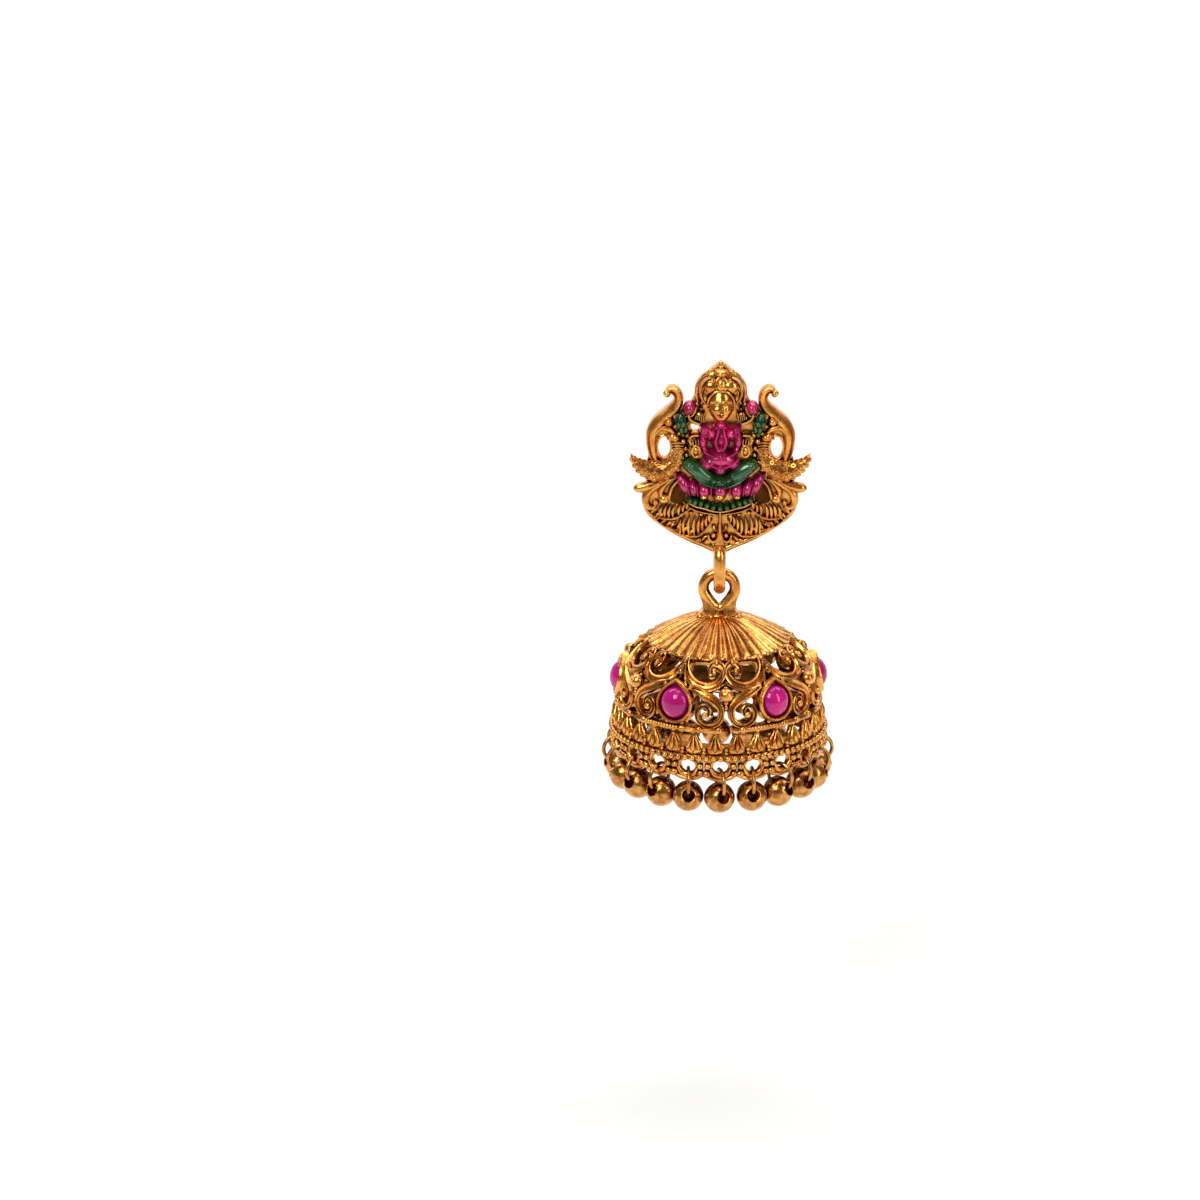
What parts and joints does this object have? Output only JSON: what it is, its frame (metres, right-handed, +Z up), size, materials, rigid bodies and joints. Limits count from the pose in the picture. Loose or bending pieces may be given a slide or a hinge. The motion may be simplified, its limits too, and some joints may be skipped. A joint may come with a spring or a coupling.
{
  "type": "jhumka earring",
  "caption": "Drop earring: an enamelled openwork plaque worn by a post, with a pierced bell set with cabochons and fringed with beads swinging below it.",
  "frame": {"origin": "where the ear post leaves the plaque's back, which is where the earring is held when worn", "axes": "+Z up along the length as worn, the front faces -Y and the post points along +Y"},
  "size_m": [0.0292, 0.029, 0.0547],
  "materials": {
    "antique_gold": "antique gold plate, polished high, dark in the hollows",
    "magenta_enamel": "glossy magenta enamel",
    "green_enamel": "glossy dark green enamel",
    "magenta_cabochon": "clear magenta glass, polished"
  },
  "bodies": {
    "plaque": {"plaque": "antique_gold", "ear_post": "antique_gold", "enamel_bodice": "magenta_enamel", "enamel_skirt": "green_enamel", "enamel_lotus_petals": "magenta_enamel", "enamel_lotus_base": "green_enamel", "enamel_bud_right": "magenta_enamel", "enamel_bud_left": "magenta_enamel", "enamel_hand_leaf_right": "green_enamel", "enamel_hand_leaf_left": "green_enamel"},
    "bell": {"bell": "antique_gold", "stone_1": "magenta_cabochon", "stone_2": "magenta_cabochon", "stone_3": "magenta_cabochon", "stone_4": "magenta_cabochon", "stone_5": "magenta_cabochon", "stone_6": "magenta_cabochon", "bead_ring_01": "antique_gold", "bead_ring_02": "antique_gold", "bead_ring_03": "antique_gold", "bead_ring_04": "antique_gold", "bead_ring_05": "antique_gold", "bead_ring_06": "antique_gold", "bead_ring_07": "antique_gold", "bead_ring_08": "antique_gold", "bead_ring_09": "antique_gold", "bead_ring_10": "antique_gold", "bead_ring_11": "antique_gold", "bead_ring_12": "antique_gold", "bead_ring_13": "antique_gold", "bead_ring_14": "antique_gold", "bead_ring_15": "antique_gold", "bead_ring_16": "antique_gold", "bead_ring_17": "antique_gold", "bead_ring_18": "antique_gold", "bead_ring_19": "antique_gold", "bead_ring_20": "antique_gold", "bead_01": "antique_gold", "bead_02": "antique_gold", "bead_03": "antique_gold", "bead_04": "antique_gold", "bead_05": "antique_gold", "bead_06": "antique_gold", "bead_07": "antique_gold", "bead_08": "antique_gold", "bead_09": "antique_gold", "bead_10": "antique_gold", "bead_11": "antique_gold", "bead_12": "antique_gold", "bead_13": "antique_gold", "bead_14": "antique_gold", "bead_15": "antique_gold", "bead_16": "antique_gold", "bead_17": "antique_gold", "bead_18": "antique_gold", "bead_19": "antique_gold", "bead_20": "antique_gold"}
  },
  "joints": [
    {"name": "bell_swing", "type": "hinge", "parent": "plaque", "child": "bell", "pos_m": [0, -0.0006, -0.01925], "axis": [0, 1, 0], "range_deg": [-70, 70]}
  ]
}
